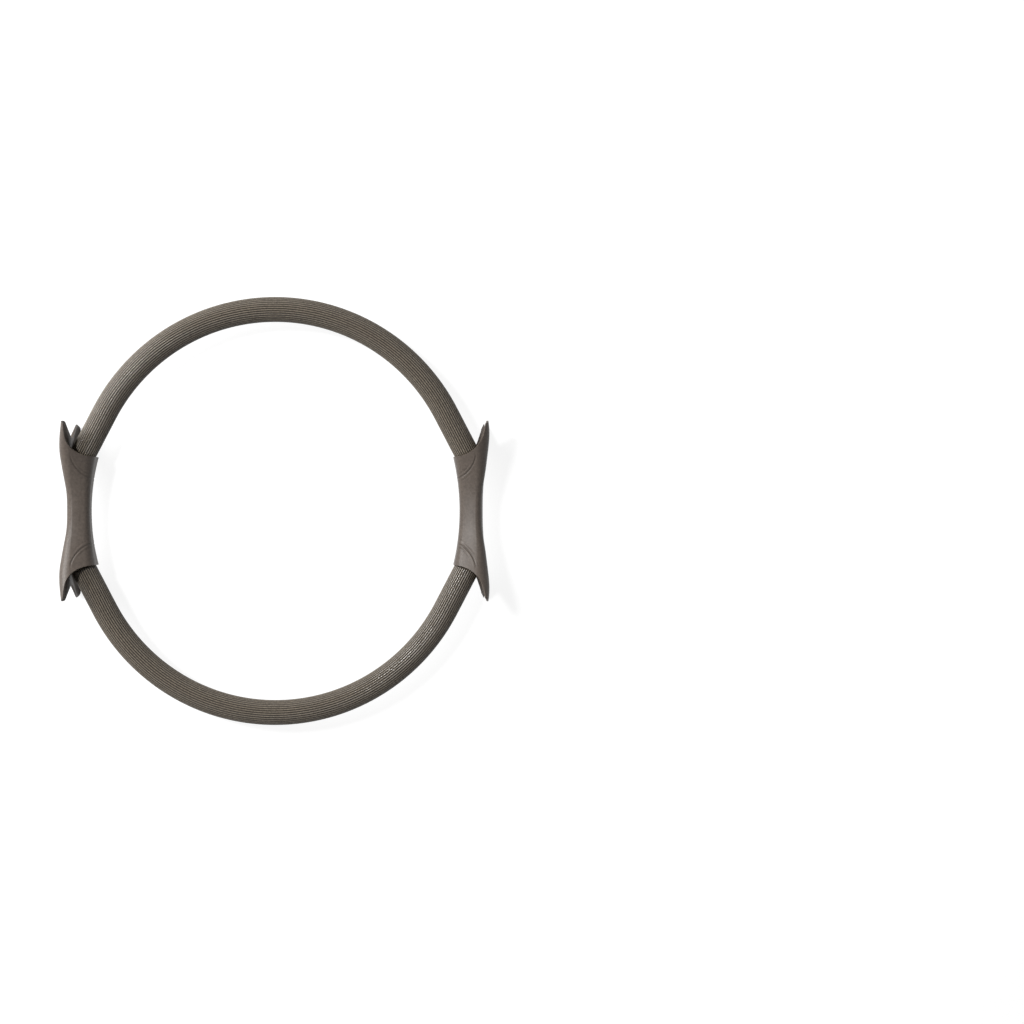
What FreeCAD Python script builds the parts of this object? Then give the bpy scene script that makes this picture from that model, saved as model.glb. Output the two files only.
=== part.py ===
import FreeCAD, Part
import math
import os

# Pilates ring lying flat: the ring is in the XY plane, its axis is +Z, the two
# grips are at +X and -X, and the floor under the ring's centre is the origin.
# Pieces are modelled about the ring's middle plane and lifted at the end.
# All sizes are in millimetres and degrees.

# Ring tube
ARC_RADIUS = 169.5          # middle line of each bent tube
ARC_OFFSET = 8.2            # each arc's centre, away from the ring's centre
END_TILT = 27.5             # lean of the straight tube ends against a grip's length
SLEEVE_DIAMETER = 21.9
SLEEVE_STAND = 1.0          # how far a sleeve, on its middle line, ends short of the collar's low rim
ROD_DIAMETER = 5.5
ROD_SLIP = 0.25             # radial play of a rod in its sleeve

# Grip cover
COVER_WALL = 2.5
PASSAGE_GAP = 0.3           # between a sleeve and the cover that it enters
COLLAR_REACH = 47.5         # collar rim, along the grip from its middle
COLLAR_LIP = 0.8            # cover left beside the sleeve at the rim, towards the ring's centre
COLLAR_INNER_DEPTH = 13.2   # half depth of the inner face, along the ring's axis
COLLAR_ROUNDING = 12.0
WAIST_DRAW = 5.5            # how far the inner face is drawn out from the collars to the waist
WAIST_INNER_DEPTH = 7.5
WAIST_PALM_DEPTH = 12.5     # half depth of the palm face, over its ridges
WAIST_ROUNDING = 6.5
PALM_COVER = 4.5            # from the sleeve, at the rim, to where the ridges lie furthest out
PALM_FLARE = 8.5            # how far the ridges lie further in at the waist
PALM_FLARE_SETBACK = 20.0   # where they lie furthest out, back from the horn tips
WAIST_BOW = 2.7             # how far the palm face bows out between its ridges at the waist
HORN_BOW = -3.0             # and where the ridges lie furthest out, with the palm face hollow
HORN_DEPTH = 33.5
HORN_DEPTH_PAST = 6.0       # where the horns would reach that depth, past their tips
HORN_FLARE_POWER = 1.5      # above 1 keeps the waist slim and lets the horns flare late
RIDGE_ROUNDING = 4.0
GRIP_SECTIONS = 13

# Open ends of the cover
RIM_SWEEP_RADIUS = 25.0     # sweep of the rim from the collar up to the horns
RIM_SWEEP_END = 8.0         # angle at which the sweep gives way to a horn's edge
HORN_EDGE = 5.5             # how far the horns stand past the sweep's centre
HORN_TIP_WALL = 1.8         # cover left at a tip, past the sweep
HORN_TAPER = 0.4            # how far a horn's edge draws nearer to its palm face
HORN_TIP_RADIUS = 10.5
HORN_CROWN = 0.8            # height of the round over the thickness of a tip
VALLEY_DEPTH = 13.0         # notch between two horns, down from their tips
VALLEY_RADIUS = 6.0
REST_FLAT = 1.0             # depth of the flats that the lower horns stand on

# Grip core and what is clamped in it
CORE_GAP = 0.15             # between the core and its cover
SEAT_GAP = 0.2              # between faces that butt along a tube's end
FIT_GAP = 0.15              # radial play of pins, screws and ferrules in their holes
BUSHING_THICKNESS = 3.0
BUSHING_INSET = 0.6         # how far a bushing stays inside its sleeve's outline
FERRULE_WALL = 1.1
FERRULE_END_WALL = 1.0
FERRULE_COVER = 1.4         # core left between a ferrule and the cover's palm wall
PIN_DIAMETER = 2.0
PIN_HOLD = 4.0              # how far a pin reaches into the core past its ferrule
PIN_SETBACK = 4.0           # a pin's centre line from its ferrule's closed end
SCREW_COUNT = 3
SCREW_PITCH = 16.0
SCREW_DIAMETER = 2.9
SCREW_LENGTH = 9.0
SCREW_HEAD_DIAMETER = 5.5
SCREW_HEAD_HEIGHT = 2.0
SCREW_RECESS = 1.7          # how deep a screw head lies in the core's back

# Worked out from the sizes above
TILT = math.radians(END_TILT)
INWARD = FreeCAD.Vector(math.sin(TILT), -math.cos(TILT), 0)
BEND = FreeCAD.Vector(ARC_RADIUS * math.cos(TILT), ARC_OFFSET + ARC_RADIUS * math.sin(TILT), 0)
SLEEVE_RADIUS = SLEEVE_DIAMETER / 2
SLEEVE_END = COLLAR_REACH + SLEEVE_STAND
ROD_RADIUS = ROD_DIAMETER / 2
FERRULE_RADIUS = ROD_RADIUS + FIT_GAP + FERRULE_WALL
CORE_INSET = COVER_WALL + CORE_GAP

RIM_TUBE = BEND.x + (BEND.y - COLLAR_REACH) * math.tan(TILT)
RIM_PASSAGE = (SLEEVE_RADIUS + PASSAGE_GAP) / math.cos(TILT)
COLLAR_INNER = RIM_TUBE - RIM_PASSAGE - COLLAR_LIP
WAIST_INNER = COLLAR_INNER + WAIST_DRAW
PALM_WIDEST = RIM_TUBE + RIM_PASSAGE + PALM_COVER
HORN_REACH = COLLAR_REACH + RIM_SWEEP_RADIUS + HORN_EDGE
SCREW_LINE = (WAIST_INNER + PALM_WIDEST - PALM_FLARE) / 2
SCREW_HEAD_TOP = (WAIST_INNER_DEPTH + WAIST_PALM_DEPTH) / 2 - CORE_INSET - SCREW_RECESS

CUT_REACH = 2 * ARC_RADIUS  # past everything that a cutting tool has to cut
CUT_MARGIN = PASSAGE_GAP    # how far a round ends outside the skin that it rounds

ORIGIN = FreeCAD.Vector(0, 0, 0)
X_AXIS = FreeCAD.Vector(1, 0, 0)
Y_AXIS = FreeCAD.Vector(0, 1, 0)
Z_AXIS = FreeCAD.Vector(0, 0, 1)


def line(start, end):
    return Part.LineSegment(start, end).toShape()


def arc(start, middle, end):
    return Part.Arc(start, middle, end).toShape()


def prism(edges, direction):
    """Solid from a closed outline, pushed both ways along a direction."""
    face = Part.Face(Part.Wire(edges))
    face.translate(direction * -CUT_REACH)
    return face.extrude(direction * (2 * CUT_REACH))


def upright(radius, x, y, low, high):
    return Part.makeCylinder(radius, high - low, FreeCAD.Vector(x, y, low), Z_AXIS)


def flipped_along(shape):
    """Mirror image across the middle of the grip's length."""
    return shape.mirror(ORIGIN, Y_AXIS)


def flipped_across(shape):
    """Mirror image across the middle of the ring, from one grip to the other."""
    return shape.mirror(ORIGIN, X_AXIS)


def both_ends(shape):
    return [shape, flipped_along(shape)]


# Palm face of a grip, by the distance from the grip's middle

def palm_depth(reach):
    share = min(reach / (HORN_REACH + HORN_DEPTH_PAST), 1)
    opening = (1 - math.cos(math.pi * share)) / 2
    return WAIST_PALM_DEPTH + (HORN_DEPTH - WAIST_PALM_DEPTH) * opening ** HORN_FLARE_POWER


def palm_flare(reach):
    """Share of the flare from the waist to where the ridges lie furthest out."""
    share = reach / (HORN_REACH - PALM_FLARE_SETBACK)
    return ((1 - math.cos(math.pi * share)) / 2) ** HORN_FLARE_POWER


def palm_ridge(reach):
    return PALM_WIDEST - PALM_FLARE * (1 - palm_flare(reach))


def palm_bow(reach):
    return WAIST_BOW + (HORN_BOW - WAIST_BOW) * palm_flare(reach)


# Ring tube: a bent run with a straight run into each grip

def tube_point(depth):
    """Point on the upper right tube's axis, a depth past the sleeve's end into the grip."""
    straight = (BEND.y - SLEEVE_END) / math.cos(TILT)
    return BEND + INWARD * (straight + depth)


def along_end(radius, start, end):
    """Round bar along the upper right tube's axis, between two depths past the sleeve's end."""
    return Part.makeCylinder(radius, end - start, tube_point(start), INWARD)


def bent_bar(radius, end_depth):
    outline = Part.Wire(Part.Circle(BEND, INWARD, radius).toShape())
    arch = Part.Face(outline).revolve(FreeCAD.Vector(0, ARC_OFFSET, 0), Z_AXIS, 180 - 2 * END_TILT)
    right_end = Part.makeCylinder(radius, (tube_point(end_depth) - BEND).Length, BEND, INWARD)
    return arch.fuse([right_end, flipped_across(right_end)]).removeSplitter()


def foam_sleeve():
    bore = bent_bar(ROD_RADIUS + ROD_SLIP, BUSHING_THICKNESS)
    return bent_bar(SLEEVE_RADIUS, 0).cut(bore)


def ferrule_end():
    """Depth at which a ferrule's corner comes as near to the palm wall as it may."""
    corner = FERRULE_RADIUS * math.cos(TILT)
    depth = 0
    for attempt in range(12):
        reach = SLEEVE_END - depth * math.cos(TILT)
        palm = palm_ridge(reach) + palm_bow(reach)
        room = palm - CORE_INSET - FERRULE_COVER - corner - tube_point(0).x
        depth = room / math.sin(TILT)
    return depth


FERRULE_START = SEAT_GAP
FERRULE_END = ferrule_end()
PIN_POINT = tube_point(FERRULE_END - PIN_SETBACK)


def pin_bar(gap):
    reach = FERRULE_RADIUS + PIN_HOLD + gap
    return upright(PIN_DIAMETER / 2 + gap, PIN_POINT.x, PIN_POINT.y, -reach, reach)


def spring_rod():
    bar = bent_bar(ROD_RADIUS, FERRULE_END - FERRULE_END_WALL - SEAT_GAP)
    hole = pin_bar(FIT_GAP)
    return bar.cut([hole, flipped_across(hole)])


# Grip cover: an hourglass sleeve that opens into two horns at each end

def towards_collar(waist, collar, reach):
    return waist + (collar - waist) * (reach / COLLAR_REACH) ** 2


def section_corners(y):
    """Corners of the grip's outline; the palm face bows between its ridges towards the fourth."""
    reach = abs(y)
    inner = towards_collar(WAIST_INNER, COLLAR_INNER, reach)
    inner_depth = towards_collar(WAIST_INNER_DEPTH, COLLAR_INNER_DEPTH, reach)
    ridge = palm_ridge(reach)
    depth = palm_depth(reach)
    return [
        FreeCAD.Vector(inner, y, -inner_depth),
        FreeCAD.Vector(inner, y, inner_depth),
        FreeCAD.Vector(ridge, y, depth),
        FreeCAD.Vector(ridge + 2 * palm_bow(reach), y, 0),
        FreeCAD.Vector(ridge, y, -depth),
    ]


def inset_corners(corners, inset):
    """Move every side of the grip's outline inwards by the same amount."""
    normals = []
    for i, corner in enumerate(corners):
        side = corners[(i + 1) % len(corners)] - corner
        normals.append(Y_AXIS.cross(side).normalize())
    moved = []
    for i, corner in enumerate(corners):
        both = normals[i - 1] + normals[i]
        moved.append(corner + both * (inset / (1 + normals[i - 1].dot(normals[i]))))
    return moved


def corner_arc(before, corner, after, radius):
    """Start, middle and end of the tangent arc that rounds a corner."""
    to_before = (before - corner).normalize()
    to_after = (after - corner).normalize()
    half_angle = to_before.getAngle(to_after) / 2
    tangent = radius / math.tan(half_angle)
    to_arc = radius / math.sin(half_angle) - radius
    middle = corner + (to_before + to_after).normalize() * to_arc
    return corner + to_before * tangent, middle, corner + to_after * tangent


def grip_section(y, inset):
    """Outline across the grip: inner face, two sloping sides and a bowed palm face."""
    inner_back, inner_front, ridge_front, palm, ridge_back = inset_corners(section_corners(y), inset)
    inner_radius = towards_collar(WAIST_ROUNDING, COLLAR_ROUNDING, abs(y)) - inset
    ridge_radius = RIDGE_ROUNDING - inset
    back_in = corner_arc(ridge_back, inner_back, inner_front, inner_radius)
    front_in = corner_arc(inner_back, inner_front, ridge_front, inner_radius)
    front_out = corner_arc(inner_front, ridge_front, palm, ridge_radius)
    back_out = corner_arc(palm, ridge_back, inner_back, ridge_radius)
    palm_face = Part.BezierCurve()
    palm_face.setPoles([front_out[2], palm, back_out[0]])
    return Part.Wire([
        arc(*back_in),
        line(back_in[2], front_in[0]),
        arc(*front_in),
        line(front_in[2], front_out[0]),
        arc(*front_out),
        palm_face.toShape(),
        arc(*back_out),
        line(back_out[2], back_in[0]),
    ])


def grip_loft(inset):
    reach = HORN_REACH + RIDGE_ROUNDING
    step = 2 * reach / (GRIP_SECTIONS - 1)
    sections = [grip_section(-reach + i * step, inset) for i in range(GRIP_SECTIONS)]
    return Part.makeLoft(sections, True, False)


def rim_cut():
    """What lies past the rim, seen along the ring's axis: collar, sweep and horn edge."""
    centre = FreeCAD.Vector(palm_ridge(HORN_REACH) - HORN_TIP_WALL - RIM_SWEEP_RADIUS,
                            COLLAR_REACH + RIM_SWEEP_RADIUS, 0)

    def on_sweep(degrees):
        angle = math.radians(degrees)
        return centre + FreeCAD.Vector(math.cos(angle), -math.sin(angle), 0) * RIM_SWEEP_RADIUS

    shoulder = HORN_REACH - HORN_CROWN
    start = FreeCAD.Vector(0, COLLAR_REACH, 0)
    sweep_end = on_sweep(RIM_SWEEP_END)
    tip_inner = FreeCAD.Vector(sweep_end.x + HORN_TAPER, shoulder, 0)
    tip_outer = FreeCAD.Vector(palm_ridge(shoulder) + CUT_MARGIN, shoulder, 0)
    crown = (tip_inner + tip_outer) / 2 + Y_AXIS * HORN_CROWN
    tip_past = FreeCAD.Vector(CUT_REACH, shoulder, 0)
    past = FreeCAD.Vector(CUT_REACH, CUT_REACH, 0)
    past_start = FreeCAD.Vector(0, CUT_REACH, 0)
    return prism([
        line(start, on_sweep(90)),
        arc(on_sweep(90), on_sweep((90 + RIM_SWEEP_END) / 2), sweep_end),
        line(sweep_end, tip_inner),
        arc(tip_inner, crown, tip_outer),
        line(tip_outer, tip_past),
        line(tip_past, past),
        line(past, past_start),
        line(past_start, start),
    ], Z_AXIS)


def valley_cut():
    """The notch between two horns and the round ends of their tips, seen from the palm side."""
    notch = FreeCAD.Vector(0, HORN_REACH - VALLEY_DEPTH + VALLEY_RADIUS, 0)
    tip = FreeCAD.Vector(0, HORN_REACH - HORN_TIP_RADIUS, HORN_DEPTH - HORN_TIP_RADIUS)
    # The flank is the tangent that passes between the notch's arc and the tip's arc.
    across = tip - notch
    lean = math.atan2(across.z, across.y) - math.asin((VALLEY_RADIUS + HORN_TIP_RADIUS) / across.Length)
    square = FreeCAD.Vector(0, -math.sin(lean), math.cos(lean))
    low = notch + square * VALLEY_RADIUS
    high = tip - square * HORN_TIP_RADIUS
    top = tip + Y_AXIS * HORN_TIP_RADIUS
    outer = tip + Z_AXIS * HORN_TIP_RADIUS
    outer_past = FreeCAD.Vector(0, outer.y, CUT_REACH)
    past = FreeCAD.Vector(0, CUT_REACH, CUT_REACH)

    def other(point):
        return FreeCAD.Vector(point.x, point.y, -point.z)

    return prism([
        arc(other(low), notch - Y_AXIS * VALLEY_RADIUS, low),
        line(low, high),
        arc(high, top, outer),
        line(outer, outer_past),
        line(outer_past, past),
        line(past, other(past)),
        line(other(past), other(outer_past)),
        line(other(outer_past), other(outer)),
        arc(other(outer), other(top), other(high)),
        line(other(high), other(low)),
    ], X_AXIS)


def below(height):
    size = 4 * CUT_REACH
    return Part.makeBox(size, size, size, FreeCAD.Vector(-size / 2, -size / 2, height - size))


def grip_cover():
    shell = grip_loft(0).cut(grip_loft(COVER_WALL))
    passage = along_end(SLEEVE_RADIUS + PASSAGE_GAP, -CUT_REACH, SEAT_GAP + BUSHING_THICKNESS)
    shell = shell.cut(both_ends(rim_cut()) + both_ends(valley_cut()) + both_ends(passage))
    return shell.cut(below(shell.optimalBoundingBox().ZMin + REST_FLAT))


# Grip core: two screwed halves that clamp the rod ends

def screw_stations():
    first = -SCREW_PITCH * (SCREW_COUNT - 1) / 2
    return [first + i * SCREW_PITCH for i in range(SCREW_COUNT)]


def screw(y, gap, head_top):
    head_seat = -SCREW_HEAD_TOP + SCREW_HEAD_HEIGHT
    head = upright(SCREW_HEAD_DIAMETER / 2 + gap, SCREW_LINE, y, head_top, head_seat)
    shank = upright(SCREW_DIAMETER / 2 + gap, SCREW_LINE, y, head_top, head_seat + SCREW_LENGTH + gap)
    return head.fuse(shank).removeSplitter()


def grip_core():
    seat = SEAT_GAP + BUSHING_THICKNESS
    past_seat = along_end(CUT_REACH / 2, -CUT_REACH, seat)
    socket = along_end(FERRULE_RADIUS + FIT_GAP, 0, FERRULE_END + SEAT_GAP)
    cuts = both_ends(past_seat) + both_ends(socket) + both_ends(pin_bar(FIT_GAP))
    cuts += [screw(y, FIT_GAP, -CUT_REACH) for y in screw_stations()]
    return grip_loft(CORE_INSET).cut(cuts)


def ferrule():
    shell = along_end(FERRULE_RADIUS, FERRULE_START, FERRULE_END)
    bore = along_end(ROD_RADIUS + FIT_GAP, 0, FERRULE_END - FERRULE_END_WALL)
    return shell.cut([bore, pin_bar(FIT_GAP)])


def bushing():
    disc = along_end(SLEEVE_RADIUS - BUSHING_INSET, SEAT_GAP, SEAT_GAP + BUSHING_THICKNESS)
    return disc.cut(along_end(FERRULE_RADIUS + FIT_GAP, 0, FERRULE_END))


def grip_pieces():
    """Every piece of the right grip, by name."""
    core = grip_core()
    back_space = below(0)
    screws = [screw(y, 0, -SCREW_HEAD_TOP) for y in screw_stations()]
    return {
        "grip_cover": grip_cover(),
        "grip_core_front": core.cut(back_space),
        "grip_core_back": core.common(back_space),
        "grip_core_screws": Part.makeCompound(screws),
        "upper_rod_ferrule": ferrule(),
        "lower_rod_ferrule": flipped_along(ferrule()),
        "rod_pins": Part.makeCompound(both_ends(pin_bar(0))),
        "upper_sleeve_bushing": bushing(),
        "lower_sleeve_bushing": flipped_along(bushing()),
    }


def ring_pieces():
    pieces = {
        "upper_spring_rod": spring_rod(),
        "lower_spring_rod": flipped_along(spring_rod()),
        "upper_foam_sleeve": foam_sleeve(),
        "lower_foam_sleeve": flipped_along(foam_sleeve()),
    }
    for name, shape in grip_pieces().items():
        pieces["right_" + name] = shape
        pieces["left_" + name] = flipped_across(shape)
    return pieces


os.makedirs("parts", exist_ok=True)
pieces = ring_pieces()
floor = pieces["right_grip_cover"].optimalBoundingBox().ZMin
for name, shape in pieces.items():
    shape.translate(Z_AXIS * -floor)
    shape.exportStep("parts/" + name + ".step")
    box = shape.BoundBox
    print(name, "solids", len(shape.Solids), "valid", shape.isValid(), "volume", round(shape.Volume, 1),
          "z", round(box.ZMin, 2), round(box.ZMax, 2))
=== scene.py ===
import math

import bmesh
import bpy
from mathutils import Matrix, Vector


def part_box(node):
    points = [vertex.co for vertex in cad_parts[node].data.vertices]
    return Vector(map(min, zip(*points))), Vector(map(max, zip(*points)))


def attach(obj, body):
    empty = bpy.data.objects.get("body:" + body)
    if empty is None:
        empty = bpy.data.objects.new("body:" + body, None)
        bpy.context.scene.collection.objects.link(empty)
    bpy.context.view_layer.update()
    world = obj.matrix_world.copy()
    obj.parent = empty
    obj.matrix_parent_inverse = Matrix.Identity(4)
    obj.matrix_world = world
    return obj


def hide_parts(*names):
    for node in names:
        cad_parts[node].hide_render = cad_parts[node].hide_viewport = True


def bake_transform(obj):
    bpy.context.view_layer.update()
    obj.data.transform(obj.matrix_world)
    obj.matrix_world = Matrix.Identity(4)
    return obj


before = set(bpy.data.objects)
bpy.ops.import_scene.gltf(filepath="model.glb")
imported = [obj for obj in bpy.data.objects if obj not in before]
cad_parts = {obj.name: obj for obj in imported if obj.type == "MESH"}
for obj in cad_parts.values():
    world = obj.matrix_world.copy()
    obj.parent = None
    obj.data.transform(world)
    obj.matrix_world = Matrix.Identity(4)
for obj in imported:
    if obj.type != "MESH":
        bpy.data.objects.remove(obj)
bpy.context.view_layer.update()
scene = bpy.context.scene
scene.view_settings.view_transform = "Standard"

# Sizes in millimetres, about the ring's centre and its middle plane
MM = 0.001
MIDDLE = sum(corner.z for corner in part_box("upper_foam_sleeve")) / 2 / MM

# Ring tube
ARC_RADIUS = 169.5
ARC_OFFSET = 8.2
END_TILT = math.radians(27.5)
SLEEVE_RADIUS = 10.95
SLEEVE_END = 48.5
RIB_COUNT = 34
RIB_STEPS = 8
RIB_DEPTH = 0.5
RIB_POWER = 1.3             # above 1 keeps the ribs round and the grooves narrow
ROD_RADIUS = 2.75
ROD_STEPS = 24
ROD_CHAMFER = 0.3
ARC_STEPS = 80
STRAIGHT_STEPS = 10

# Closed ends of the tubes, step by step: (scale about the axis, move along it)
SLEEVE_END_STEPS = [(0.97, 0.0), (0.3, -0.1), (0.9, -6.0)]
ROD_END_STEPS = [(0.85, ROD_CHAMFER)]

# Grip cover: across its waist, at its collars and at its horns
COVER_WALL = 2.5
LIP_WIDTH = 0.5
WAIST_INNER = 162.65
WAIST_INNER_DEPTH = 7.5
WAIST_ROUNDING = 6.5
WAIST_RIDGE = 179.32
WAIST_RIDGE_DEPTH = 12.5
WAIST_BOW = 2.7             # how far the palm face bows out between its ridges
COLLAR_REACH = 47.5
COLLAR_INNER = 157.15
COLLAR_INNER_DEPTH = 13.2
COLLAR_ROUNDING = 12.0
HORN_REACH = 78.0
HORN_RIDGE = 187.82
HORN_RIDGE_REACH = 58.0
HORN_BOW = -3.0             # the same at the horns, where that face is hollow
HORN_DEPTH = 34.5
HORN_DEPTH_REACH = 84.0     # where the ridges would reach that depth, past the tips
HORN_FLARE_POWER = 1.5      # above 1 keeps the waist slim and lets the horns flare late
WAIST_RIDGE_ROUNDING = 5.0
HORN_RIDGE_ROUNDING = 9.0
HORN_RIDGE_PUSH = 4.4       # keeps a ridge out where its rounding is large
SHOULDER_PUSH = 2.2         # how much fuller the ridges are where the horns begin
SHOULDER_REACH = 50.0
SHOULDER_LENGTH = 15.0
LEFT_HORN_LEAN = 4.6        # the left cover's soft horns lean in by this much at their tips
LEAN_START = 46.0           # where the lean begins, along the grip from its middle
SIDE_CROWN = 0.2
RIM_SWEEP_RADIUS = 25.0
RIM_SWEEP_END = math.radians(8.0)
HORN_TIP_WALL = 1.8
HORN_TIP_DEPTH = 23.0
HORN_TIP_RADIUS = 10.5
VALLEY_REACH = 65.0         # bottom of the notch between two horns
VALLEY_RADIUS = 6.0

# How much thinner the wall grows, and over what length before a rim
COLLAR_THINNING = 0.65
COLLAR_THIN_LENGTH = 12.0
HORN_THINNING = 0.6
HORN_THIN_LENGTH = 16.5

# Folds pressed into the covers beside the collars: an oval about the collar's inner edge
FOLD_CENTRE = Vector((157.5, 47.6))
FOLD_ACROSS = 17.8
FOLD_ALONG = 19.6
FOLD_POWER = 1.7

# Each fold: (distance past the oval, width, depth)
MAIN_FOLD = (0.0, 0.55, 0.4)
SECOND_FOLD = (-2.9, 0.65, 0.18)
THIRD_FOLD = (3.2, 1.0, 0.12)
INNER_LIP = (-1.4, 0.9, -0.1)
OUTER_LIP = (1.7, 0.9, -0.1)
SECOND_FOLD_SHADE = 0.5         # how dark the painted shade of the second fold is against the main one

# Angles round the oval over which the folds begin and fade
FOLD_BEGIN = (-0.25, 0.2)
LOWER_BEGIN = (0.35, 0.9)
FOLD_FADE = (1.2, 1.6)
MAIN_FADE = 0.7             # share of the main fold that fades

TILT_IN = Vector((math.sin(END_TILT), -math.cos(END_TILT), 0))
BEND = Vector((ARC_RADIUS * math.cos(END_TILT), ARC_OFFSET + ARC_RADIUS * math.sin(END_TILT), 0))
ROD_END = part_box("upper_spring_rod")[0].y / MM + ROD_RADIUS * math.sin(END_TILT)
ROD_DEPTH = (SLEEVE_END - ROD_END) / math.cos(END_TILT) - ROD_CHAMFER


def smooth_share(value, start, end):
    share = min(max((value - start) / (end - start), 0), 1)
    return share * share * (3 - 2 * share)


def finished_object(name, bm, material):
    """Object from a bmesh in millimetres about the ring's middle plane, put in its place in metres."""
    bmesh.ops.translate(bm, verts=bm.verts, vec=(0, 0, MIDDLE))
    bmesh.ops.scale(bm, verts=bm.verts, vec=(MM, MM, MM))
    mesh = bpy.data.meshes.new(name)
    bm.to_mesh(mesh)
    bm.free()
    mesh.shade_smooth()
    mesh.materials.append(material)
    piece = bpy.data.objects.new(name, mesh)
    scene.collection.objects.link(piece)
    return piece


# Shader helpers

def new_material(name):
    material = bpy.data.materials.new(name)
    material.use_nodes = True
    return material, material.node_tree


def add_node(tree, kind, **settings):
    node = tree.nodes.new(kind)
    for key, value in settings.items():
        setattr(node, key, value)
    return node


def set_inputs(node, **values):
    for key, value in values.items():
        node.inputs[key.replace("_", " ")].default_value = value
    return node


def grain_group():
    """Fine moulded grain and a slow change of tone, from object coordinates."""
    group = bpy.data.node_groups.new("moulded_grain", "ShaderNodeTree")
    face = group.interface
    face.new_socket("Vector", in_out="INPUT", socket_type="NodeSocketVector")
    face.new_socket("Grain Scale", in_out="INPUT", socket_type="NodeSocketFloat")
    face.new_socket("Tone Scale", in_out="INPUT", socket_type="NodeSocketFloat")
    face.new_socket("Height", in_out="OUTPUT", socket_type="NodeSocketFloat")
    face.new_socket("Tone", in_out="OUTPUT", socket_type="NodeSocketFloat")
    inlet = add_node(group, "NodeGroupInput")
    outlet = add_node(group, "NodeGroupOutput")
    grain = add_node(group, "ShaderNodeTexNoise")
    set_inputs(grain, Detail=3.0, Roughness=0.6)
    tone = add_node(group, "ShaderNodeTexNoise")
    set_inputs(tone, Detail=4.0, Roughness=0.55)
    link = group.links.new
    link(inlet.outputs["Vector"], grain.inputs["Vector"])
    link(inlet.outputs["Grain Scale"], grain.inputs["Scale"])
    link(inlet.outputs["Vector"], tone.inputs["Vector"])
    link(inlet.outputs["Tone Scale"], tone.inputs["Scale"])
    link(grain.outputs["Fac"], outlet.inputs["Height"])
    link(tone.outputs["Fac"], outlet.inputs["Tone"])
    return group


GRAIN = grain_group()


def grained_material(name, dark, light, roughness, grain_scale, tone_scale, bump, metallic=0.0):
    """Material whose colour and roughness drift a little, with a fine grain; returns its parts."""
    material, tree = new_material(name)
    surface = tree.nodes["Principled BSDF"]
    surface.inputs["Metallic"].default_value = metallic
    place = add_node(tree, "ShaderNodeTexCoord")
    grain = add_node(tree, "ShaderNodeGroup", node_tree=GRAIN)
    set_inputs(grain, Grain_Scale=grain_scale, Tone_Scale=tone_scale)
    colour = add_node(tree, "ShaderNodeValToRGB")
    colour.color_ramp.elements[0].position = 0.3
    colour.color_ramp.elements[0].color = (*dark, 1)
    colour.color_ramp.elements[1].position = 0.7
    colour.color_ramp.elements[1].color = (*light, 1)
    rough = add_node(tree, "ShaderNodeMapRange")
    set_inputs(rough, To_Min=roughness[0], To_Max=roughness[1])
    relief = add_node(tree, "ShaderNodeBump")
    set_inputs(relief, Strength=bump, Distance=0.0002)
    link = tree.links.new
    link(place.outputs["Object"], grain.inputs["Vector"])
    link(grain.outputs["Tone"], colour.inputs["Fac"])
    link(colour.outputs["Color"], surface.inputs["Base Color"])
    link(grain.outputs["Height"], rough.inputs["Value"])
    link(rough.outputs["Result"], surface.inputs["Roughness"])
    link(grain.outputs["Height"], relief.inputs["Height"])
    link(relief.outputs["Normal"], surface.inputs["Normal"])
    return material, tree, surface, colour


COVER_FINISH, cover_tree, cover_surface, cover_colour = grained_material(
    "soft_touch_cover", (0.086, 0.069, 0.057), (0.128, 0.103, 0.085), (0.36, 0.48), 2600.0, 450.0, 0.12)
FOAM_FINISH, foam_tree, foam_surface, foam_colour = grained_material(
    "ribbed_foam", (0.088, 0.072, 0.055), (0.168, 0.14, 0.106), (0.42, 0.5), 1900.0, 650.0, 0.15)
CORE_FINISH = grained_material(
    "moulded_core", (0.05, 0.046, 0.042), (0.065, 0.06, 0.055), (0.5, 0.65), 1500.0, 80.0, 0.2)[0]
BUSHING_FINISH = grained_material(
    "moulded_bushing", (0.055, 0.05, 0.045), (0.07, 0.064, 0.058), (0.45, 0.6), 1500.0, 80.0, 0.15)[0]
ROD_FINISH = grained_material(
    "glass_fibre_rod", (0.5, 0.47, 0.37), (0.58, 0.55, 0.45), (0.25, 0.4), 900.0, 200.0, 0.1)[0]
FERRULE_FINISH = grained_material(
    "turned_aluminium", (0.62, 0.62, 0.63), (0.72, 0.72, 0.73), (0.25, 0.4), 1200.0, 150.0, 0.05, 1.0)[0]
STEEL_FINISH = grained_material(
    "plated_steel", (0.5, 0.5, 0.5), (0.6, 0.6, 0.61), (0.25, 0.4), 1200.0, 150.0, 0.05, 1.0)[0]


# Foam's grooves and rib tops, as factors on its colour (painted shade in the grooves, a painted
# highlight on the rib tops) and on its roughness
GROOVE_PAINTED_SHADE = (0.14, 0.135, 0.13, 1)
GROOVE_SHARE = 0.08
GROOVE_ROUGHNESS = 1.9
RIB_PAINTED_HIGHLIGHT = (1.65, 1.65, 1.65, 1)
RIB_ROUGHNESS = 0.26
FOAM_SHEEN = 0.38

# Painted shade in the covers' creases, as a factor on their colour
CREASE_PAINTED_SHADE = (0.6, 0.58, 0.56, 1)
COVER_SHEEN = 0.35


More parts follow.
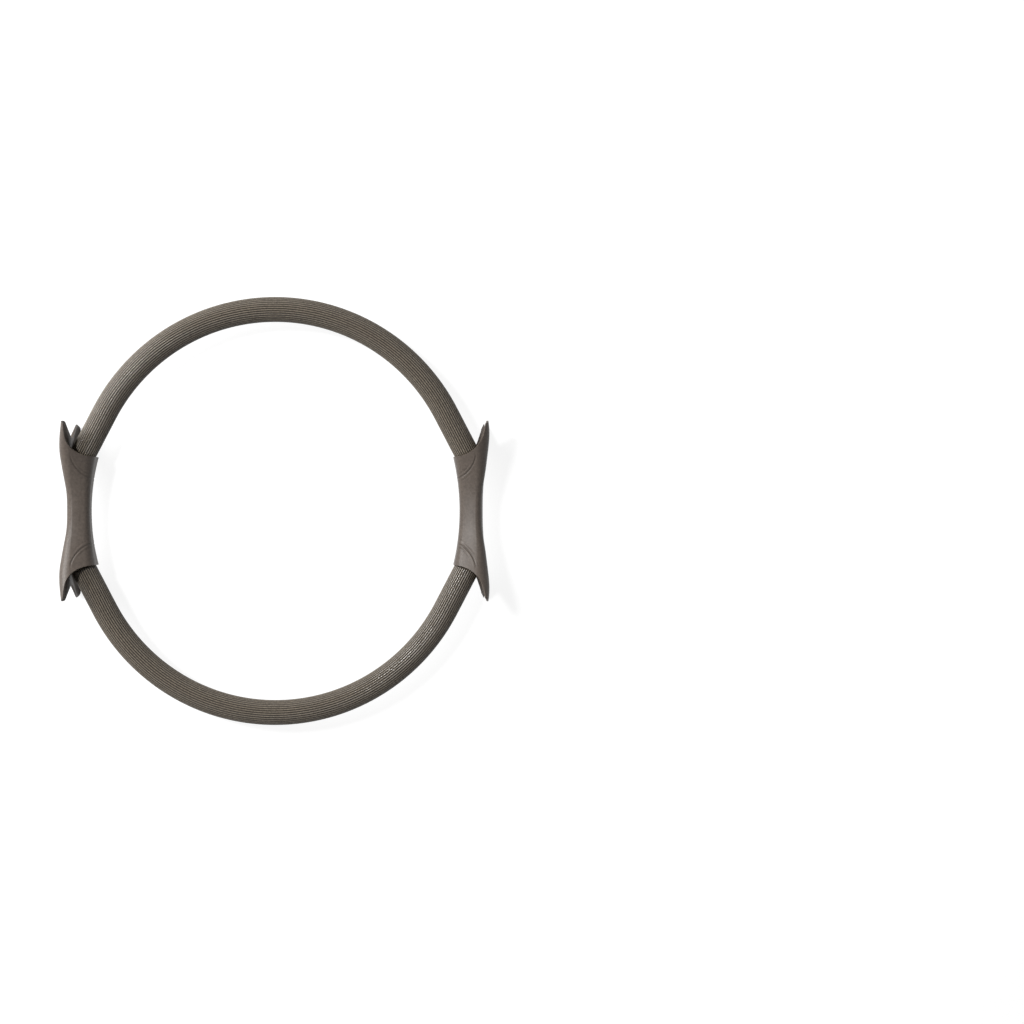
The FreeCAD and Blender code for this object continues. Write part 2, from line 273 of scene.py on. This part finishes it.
def paint_rib_highlights_and_groove_shade():
    """Painted light on the foam: the rib tops are painted lighter as a highlight and the grooves darker
    as shade; the tops are also smoother than the grooves.
    """
    rib = add_node(foam_tree, "ShaderNodeAttribute", attribute_name="rib")
    mix = add_node(foam_tree, "ShaderNodeMix", data_type="RGBA", blend_type="MULTIPLY")
    mix.inputs["Factor"].default_value = 1.0
    rib_painted_light = add_node(foam_tree, "ShaderNodeValToRGB")
    rib_painted_light.color_ramp.elements[0].color = GROOVE_PAINTED_SHADE
    rib_painted_light.color_ramp.elements[0].position = GROOVE_SHARE
    rib_painted_light.color_ramp.elements[1].color = RIB_PAINTED_HIGHLIGHT
    link = foam_tree.links.new
    link(rib.outputs["Fac"], rib_painted_light.inputs["Fac"])
    link(foam_colour.outputs["Color"], mix.inputs["A"])
    link(rib_painted_light.outputs["Color"], mix.inputs["B"])
    link(mix.outputs["Result"], foam_surface.inputs["Base Color"])
    polish = add_node(foam_tree, "ShaderNodeMapRange")
    set_inputs(polish, To_Min=GROOVE_ROUGHNESS, To_Max=RIB_ROUGHNESS)
    rough = add_node(foam_tree, "ShaderNodeMath", operation="MULTIPLY")
    link(rib.outputs["Fac"], polish.inputs["Value"])
    link(foam_surface.inputs["Roughness"].links[0].from_socket, rough.inputs[0])
    link(polish.outputs["Result"], rough.inputs[1])
    link(rough.outputs[0], foam_surface.inputs["Roughness"])


def paint_crease_shade():
    """Painted shade: the creases of the covers are painted darker."""
    fold = add_node(cover_tree, "ShaderNodeAttribute", attribute_name="fold")
    mix = add_node(cover_tree, "ShaderNodeMix", data_type="RGBA", blend_type="MULTIPLY")
    mix.inputs["B"].default_value = CREASE_PAINTED_SHADE
    link = cover_tree.links.new
    link(fold.outputs["Fac"], mix.inputs["Factor"])
    link(cover_colour.outputs["Color"], mix.inputs["A"])
    link(mix.outputs["Result"], cover_surface.inputs["Base Color"])


paint_rib_highlights_and_groove_shade()
paint_crease_shade()
set_inputs(foam_surface, Specular_IOR_Level=FOAM_SHEEN)
set_inputs(cover_surface, Specular_IOR_Level=COVER_SHEEN)

NODE_FINISHES = {
    "grip_core_front": CORE_FINISH,
    "grip_core_back": CORE_FINISH,
    "grip_core_screws": STEEL_FINISH,
    "upper_rod_ferrule": FERRULE_FINISH,
    "lower_rod_ferrule": FERRULE_FINISH,
    "rod_pins": STEEL_FINISH,
    "upper_sleeve_bushing": BUSHING_FINISH,
    "lower_sleeve_bushing": BUSHING_FINISH,
}
for side in ("right_", "left_"):
    for node, finish in NODE_FINISHES.items():
        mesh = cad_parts[side + node].data
        mesh.materials.clear()
        mesh.materials.append(finish)


# Tubes: a ring of points spun round the arc, then drawn straight into both grips

def extruded_loop(bm, edges):
    made = bmesh.ops.extrude_edge_only(bm, edges=edges)["geom"]
    verts = [part for part in made if isinstance(part, bmesh.types.BMVert)]
    rim = [part for part in made if isinstance(part, bmesh.types.BMEdge)]
    return verts, rim


def tube_ring(bm, radius, steps):
    """Ring of points round the tube's axis where its bend begins, in the upper right."""
    turn = TILT_IN.to_track_quat("Z", "Y").to_matrix().to_4x4()
    ring = bmesh.ops.create_circle(bm, cap_ends=False, segments=steps, radius=radius,
                                   matrix=Matrix.Translation(BEND) @ turn)
    return ring["verts"]


def straight_run(bm, edges, direction, length, steps):
    for step in range(steps):
        verts, edges = extruded_loop(bm, edges)
        bmesh.ops.translate(bm, verts=verts, vec=direction * (length / steps))
    return edges


def tube_mesh(bm, ring, end_depth):
    """Bent tube through both grips' mouths; returns its two open end loops."""
    first = list(bm.edges)
    spun = bmesh.ops.spin(bm, geom=first + ring, cent=(0, ARC_OFFSET, 0), axis=(0, 0, 1),
                          angle=math.pi - 2 * END_TILT, steps=ARC_STEPS, use_duplicate=False)
    last = [part for part in spun["geom_last"] if isinstance(part, bmesh.types.BMEdge)]
    length = (BEND.y - SLEEVE_END) / math.cos(END_TILT) + end_depth
    left_in = Vector((-TILT_IN.x, TILT_IN.y, 0))
    right_end = straight_run(bm, first, TILT_IN, length, STRAIGHT_STEPS)
    left_end = straight_run(bm, last, left_in, length, STRAIGHT_STEPS)
    return (right_end, TILT_IN), (left_end, left_in)


def close_end(bm, edges, direction, shares):
    """Round a tube's end over and close it: each share is (scale about the axis, move along it)."""
    for scale, move in shares:
        verts, edges = extruded_loop(bm, edges)
        centre = sum((vert.co for vert in verts), Vector()) / len(verts)
        bmesh.ops.scale(bm, verts=verts, vec=(scale, scale, scale), space=Matrix.Translation(-centre))
        bmesh.ops.translate(bm, verts=verts, vec=direction * move)
    bmesh.ops.contextual_create(bm, geom=edges)


def foam_sleeve(name, upper):
    bm = bmesh.new()
    layer = bm.verts.layers.float.new("rib")
    ring = tube_ring(bm, SLEEVE_RADIUS, RIB_COUNT * RIB_STEPS)
    for i, vert in enumerate(ring):
        height = 0.5 + 0.5 * math.cos(2 * math.pi * i / RIB_STEPS)
        # The rib height also sets the painted rib highlight and groove shade in the foam's material
        vert[layer] = height
        away = (vert.co - BEND).normalized()
        vert.co -= away * RIB_DEPTH * (1 - height) ** RIB_POWER
    for edges, direction in tube_mesh(bm, ring, 0):
        close_end(bm, edges, direction, SLEEVE_END_STEPS)
    if not upper:
        bmesh.ops.scale(bm, verts=bm.verts, vec=(1, -1, 1))
    bmesh.ops.recalc_face_normals(bm, faces=bm.faces)
    piece = finished_object(name, bm, FOAM_FINISH)
    return piece


def spring_rod(name, upper):
    bm = bmesh.new()
    ring = tube_ring(bm, ROD_RADIUS, ROD_STEPS)
    for edges, direction in tube_mesh(bm, ring, ROD_DEPTH):
        close_end(bm, edges, direction, ROD_END_STEPS)
    if not upper:
        bmesh.ops.scale(bm, verts=bm.verts, vec=(1, -1, 1))
    bmesh.ops.recalc_face_normals(bm, faces=bm.faces)
    piece = finished_object(name, bm, ROD_FINISH)
    return piece


for half, upper in (("upper", True), ("lower", False)):
    sleeve = foam_sleeve(half + "_ribbed_sleeve", upper)
    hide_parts(half + "_foam_sleeve")
    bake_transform(sleeve)
    rod = spring_rod(half + "_fibre_rod", upper)
    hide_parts(half + "_spring_rod")
    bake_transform(rod)


# Grip covers: a loop at one rim drawn along the grip to the other, then given its wall

# Steps on half a cover's girth, and rows from its waist to a rim
PALM, RIDGE, SIDE, INNER_ROUND, INNER = range(5)
GIRTH_STEPS = {PALM: 20, RIDGE: 24, SIDE: 32, INNER_ROUND: 16, INNER: 5}
COVER_ROWS = 80
ROW_POWER = 0.75            # below 1 sets the rows closer towards the rims
RIM_SEARCH_STEPS = 40


def horn_flare(reach):
    return ((1 - math.cos(math.pi * reach / HORN_RIDGE_REACH)) / 2) ** HORN_FLARE_POWER


def ridge_depth(reach):
    opening = (1 - math.cos(math.pi * min(reach / HORN_DEPTH_REACH, 1))) / 2
    return WAIST_RIDGE_DEPTH + (HORN_DEPTH - WAIST_RIDGE_DEPTH) * opening ** HORN_FLARE_POWER


def towards_collar(waist, collar, reach):
    return waist + (collar - waist) * (reach / COLLAR_REACH) ** 2


def corner_round(before, corner, after, radius):
    """Centre of the arc that rounds a corner, and its first and last point."""
    to_before = (before - corner).normalized()
    to_after = (after - corner).normalized()
    half = to_before.angle(to_after) / 2
    centre = corner + (to_before + to_after).normalized() * (radius / math.sin(half))
    tangent = radius / math.tan(half)
    return centre, corner + to_before * tangent, corner + to_after * tangent


def on_arc(centre, start, end, share):
    """Point on the arc from start to end, turning towards the inner face."""
    first = math.atan2(start.y - centre.y, start.x - centre.x)
    last = math.atan2(end.y - centre.y, end.x - centre.x) % (2 * math.pi)
    angle = first + (last - first) * share
    return centre + Vector((math.cos(angle), math.sin(angle))) * (start - centre).length


def girth_point(reach, part, share):
    """Point (x, z) on half the cover's outline, from the middle of the palm face to the inner face."""
    flare = horn_flare(reach)
    ridge = Vector((WAIST_RIDGE + (HORN_RIDGE - WAIST_RIDGE) * flare, ridge_depth(reach)))
    palm = Vector((ridge.x + 2 * (WAIST_BOW + (HORN_BOW - WAIST_BOW) * flare), 0))
    ridge_rounding = WAIST_RIDGE_ROUNDING + (HORN_RIDGE_ROUNDING - WAIST_RIDGE_ROUNDING) * flare
    ridge += Vector((1, 1)) * (HORN_RIDGE_PUSH * flare)
    ridge.x += SHOULDER_PUSH * math.exp(-((reach - SHOULDER_REACH) / SHOULDER_LENGTH) ** 2)
    inner = Vector((towards_collar(WAIST_INNER, COLLAR_INNER, reach),
                    towards_collar(WAIST_INNER_DEPTH, COLLAR_INNER_DEPTH, reach)))
    rounding = towards_collar(WAIST_ROUNDING, COLLAR_ROUNDING, reach)
    ridge_centre, ridge_start, ridge_end = corner_round(palm, ridge, inner, ridge_rounding)
    if part == PALM:
        # Half of the bow from the back ridge to the front one, drawn towards the palm point
        far = 0.5 + share / 2
        x = ridge_start.x * (far ** 2 + (1 - far) ** 2) + palm.x * 2 * far * (1 - far)
        return Vector((x, ridge_start.y * share))
    if part == RIDGE:
        return on_arc(ridge_centre, ridge_start, ridge_end, share)
    centre, start, end = corner_round(ridge, inner, Vector((inner.x, -inner.y)), rounding)
    if part == SIDE:
        out = (start - centre).normalized()
        return ridge_end.lerp(start, share) + out * (SIDE_CROWN * 4 * share * (1 - share))
    if part == INNER_ROUND:
        return on_arc(centre, start, end, share)
    return end.lerp(Vector((inner.x, 0)), share)


TIP_RIDGE = WAIST_RIDGE + (HORN_RIDGE - WAIST_RIDGE) * horn_flare(HORN_REACH)
SWEEP = Vector((TIP_RIDGE - HORN_TIP_WALL - RIM_SWEEP_RADIUS, COLLAR_REACH + RIM_SWEEP_RADIUS))
SWEEP_END = SWEEP.x + RIM_SWEEP_RADIUS * math.cos(RIM_SWEEP_END)


def rim_height(x):
    """How far along the grip the cover reaches at a distance from the ring's centre."""
    if x <= SWEEP.x:
        return COLLAR_REACH
    if x <= SWEEP_END:
        return SWEEP.y - math.sqrt(RIM_SWEEP_RADIUS ** 2 - (x - SWEEP.x) ** 2)
    low = SWEEP.y - RIM_SWEEP_RADIUS * math.sin(RIM_SWEEP_END)
    return low + (HORN_REACH - low) * (x - SWEEP_END) / HORN_TIP_WALL


def valley_height(z):
    """How far along the grip the palm side reaches at a depth: notch, flank and round tip."""
    notch = VALLEY_REACH + VALLEY_RADIUS
    tip = Vector((HORN_TIP_DEPTH, HORN_REACH - HORN_TIP_RADIUS))
    across = Vector((tip.x, tip.y - notch))
    lean = math.atan2(across.x, across.y) - math.asin((VALLEY_RADIUS + HORN_TIP_RADIUS) / across.length)
    low = VALLEY_RADIUS * math.cos(lean)
    high = tip.x - HORN_TIP_RADIUS * math.cos(lean)
    if z <= low:
        return notch - math.sqrt(VALLEY_RADIUS ** 2 - z ** 2)
    if z <= high:
        return notch - VALLEY_RADIUS * math.sin(lean) + (z - low) / math.tan(lean)
    reach = min(abs(z - tip.x), HORN_TIP_RADIUS)
    return tip.y + math.sqrt(HORN_TIP_RADIUS ** 2 - reach ** 2)


def rim_reach(part, share):
    """Where a line drawn along the cover meets its rim."""
    low = COLLAR_REACH / 2
    high = HORN_REACH
    for attempt in range(RIM_SEARCH_STEPS):
        middle = (low + high) / 2
        point = girth_point(middle, part, share)
        if middle < min(rim_height(point.x), valley_height(point.y)):
            low = middle
        else:
            high = middle
    return low


def girth_columns():
    """Every line along a cover: (part, share, which face of the ring, reach of its rim)."""
    half = []
    for part, steps in GIRTH_STEPS.items():
        half += [(part, i / steps) for i in range(steps)]
    front = [(part, share, 1, rim_reach(part, share)) for part, share in half]
    back = [(part, share, -1, reach) for part, share, face, reach in reversed(front[1:])]
    return front + [(INNER, 1.0, 1, rim_reach(INNER, 1.0))] + back


def fold_press(x, reach):
    """How deep the folds beside a collar are pressed in, and how much painted shade darkens its creases.
    """
    across = (x - FOLD_CENTRE.x) / FOLD_ACROSS
    along = (FOLD_CENTRE.y - reach) / FOLD_ALONG
    if across < -0.3 or along < -0.5:
        return 0, 0
    oval = (abs(across) ** FOLD_POWER + abs(along) ** FOLD_POWER) ** (1 / FOLD_POWER)
    past = (oval - 1) * (FOLD_ACROSS + FOLD_ALONG) / 2
    turn = math.atan2(along, across)
    fade = smooth_share(turn, *FOLD_FADE)
    begun = smooth_share(turn, *FOLD_BEGIN) * (1 - MAIN_FADE * fade)
    lower = smooth_share(turn, *LOWER_BEGIN) * (1 - fade)
    depth = 0
    shapes = []
    for (place, width, deep), strength in ((MAIN_FOLD, begun), (SECOND_FOLD, lower),
                                           (THIRD_FOLD, lower), (INNER_LIP, begun),
                                           (OUTER_LIP, lower)):
        shape = strength * math.exp(-((past - place) / width) ** 2)
        shapes.append(shape)
        depth += deep * shape
    return depth, shapes[0] + SECOND_FOLD_SHADE * shapes[1]


def wall_share(part, reach):
    """The wall thins towards the horn tips, and beside the sleeve on the collar's inner side."""
    if part in (INNER_ROUND, INNER):
        return 1 - COLLAR_THINNING * smooth_share(reach, COLLAR_REACH - COLLAR_THIN_LENGTH, COLLAR_REACH)
    return 1 - HORN_THINNING * smooth_share(reach, HORN_REACH - HORN_THIN_LENGTH, HORN_REACH)


def grip_cover(name, side):
    columns = girth_columns()
    bm = bmesh.new()
    column = bm.verts.layers.int.new("column")
    fold = bm.verts.layers.float.new("fold")
    weights = bm.verts.layers.deform.verify()
    ring = bmesh.ops.create_circle(bm, cap_ends=False, segments=len(columns), radius=1.0)["verts"]
    for i, vert in enumerate(ring):
        vert[column] = i

    def place(verts, row):
        share = math.copysign(abs(row / COVER_ROWS) ** ROW_POWER, row)
        for vert in verts:
            part, along, face, rim = columns[vert[column]]
            point = girth_point(abs(rim * share), part, along)
            vert.co = Vector((point.x, rim * share, point.y * face))

    place(ring, -COVER_ROWS)
    edges = list(bm.edges)
    for row in range(1 - COVER_ROWS, COVER_ROWS + 1):
        verts, edges = extruded_loop(bm, edges)
        place(verts, row)
    outermost = max(bm.faces, key=lambda face: face.calc_center_median().x)
    outermost.normal_update()
    if outermost.normal.x < 0:
        bmesh.ops.reverse_faces(bm, faces=bm.faces)
    bm.normal_update()
    for vert in bm.verts:
        part = columns[vert[column]][0]
        vert[weights][0] = wall_share(part, abs(vert.co.y))
        if part in (RIDGE, SIDE, INNER_ROUND):
            # The crease weight sets the painted shade in the covers' material
            depth, crease_shade = fold_press(vert.co.x, abs(vert.co.y))
            vert[fold] = crease_shade
            vert.co -= vert.normal * depth
        if side < 0:
            vert.co.x -= LEFT_HORN_LEAN * smooth_share(abs(vert.co.y), LEAN_START, HORN_REACH)
        vert.co.z = max(vert.co.z, -MIDDLE)
    if side < 0:
        bmesh.ops.scale(bm, verts=bm.verts, vec=(-1, 1, 1))
        bmesh.ops.reverse_faces(bm, faces=bm.faces)
    piece = finished_object(name, bm, COVER_FINISH)
    piece.vertex_groups.new(name="wall")
    wall = piece.modifiers.new("wall", "SOLIDIFY")
    wall.thickness = COVER_WALL * MM
    wall.offset = -1
    wall.use_quality_normals = True
    wall.vertex_group = "wall"
    lip = piece.modifiers.new("lip", "BEVEL")
    lip.limit_method = "ANGLE"
    lip.angle_limit = math.radians(50)
    lip.width = LIP_WIDTH * MM
    lip.segments = 3
    return piece


for side, sign in (("right", 1), ("left", -1)):
    cover = grip_cover(side + "_soft_cover", sign)
    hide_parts(side + "_grip_cover")
    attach(cover, side + "_handle")


# Floor, light and camera

FLOOR_SIZE = 4.0
FLOOR_SHADE = 0.25
FLOOR_GLOW = 0.89
SKY_LIGHT = 0.03
LIGHT_TARGET = Vector((0, 0, 0.03))

# The camera looks straight down from right of the ring's centre, and its picture is shifted back
CAMERA_PLACE = Vector((0.11, 0, MIDDLE * MM + 1.08))
CAMERA_SHIFT = (0.1094, -0.001)
CAMERA_LENS = 43.06
SENSOR_WIDTH = 36.0


def seen_directly(tree):
    """1 where the eye, a reflection or glass looks at a surface, 0 where it only gives light."""
    rays = add_node(tree, "ShaderNodeLightPath")
    total = rays.outputs["Is Camera Ray"]
    for kind in ("Is Glossy Ray", "Is Transmission Ray"):
        either = add_node(tree, "ShaderNodeMath", operation="MAXIMUM")
        tree.links.new(total, either.inputs[0])
        tree.links.new(rays.outputs[kind], either.inputs[1])
        total = either.outputs[0]
    return total


def floor():
    bm = bmesh.new()
    bmesh.ops.create_grid(bm, x_segments=1, y_segments=1, size=FLOOR_SIZE)
    mesh = bpy.data.meshes.new("floor")
    bm.to_mesh(mesh)
    bm.free()
    material, tree = new_material("pale_floor")
    surface = tree.nodes["Principled BSDF"]
    set_inputs(surface, Base_Color=(FLOOR_SHADE, FLOOR_SHADE, FLOOR_SHADE, 1), Roughness=0.9)
    surface.inputs["Emission Color"].default_value = (1, 1, 1, 1)
    glow = add_node(tree, "ShaderNodeMath", operation="MULTIPLY")
    glow.inputs[1].default_value = FLOOR_GLOW
    tree.links.new(seen_directly(tree), glow.inputs[0])
    tree.links.new(glow.outputs[0], surface.inputs["Emission Strength"])
    mesh.materials.append(material)
    piece = bpy.data.objects.new("floor", mesh)
    scene.collection.objects.link(piece)


def area_light(name, place, size, power):
    data = bpy.data.lights.new(name, "AREA")
    data.shape = "DISK"
    data.size = size
    data.energy = power
    light = bpy.data.objects.new(name, data)
    light.location = place
    aim = LIGHT_TARGET - Vector(place)
    light.rotation_euler = aim.to_track_quat("-Z", "Y").to_euler()
    scene.collection.objects.link(light)


def sky():
    world = bpy.data.worlds.new("studio")
    world.use_nodes = True
    tree = world.node_tree
    background = tree.nodes["Background"]
    background.inputs["Color"].default_value = (1, 1, 1, 1)
    strength = add_node(tree, "ShaderNodeMapRange")
    set_inputs(strength, To_Min=SKY_LIGHT, To_Max=1.0)
    tree.links.new(seen_directly(tree), strength.inputs["Value"])
    tree.links.new(strength.outputs["Result"], background.inputs["Strength"])
    scene.world = world


def camera():
    data = bpy.data.cameras.new("camera")
    data.sensor_width = SENSOR_WIDTH
    data.lens = CAMERA_LENS
    data.shift_x, data.shift_y = CAMERA_SHIFT
    eye = bpy.data.objects.new("camera", data)
    eye.location = CAMERA_PLACE
    scene.collection.objects.link(eye)
    scene.camera = eye


floor()
area_light("key", (-1.26, 0.75, 0.72), 1.1, 28.0)
area_light("upper_left", (-0.58, 0.36, 1.44), 0.22, 13.0)
sky()
camera()
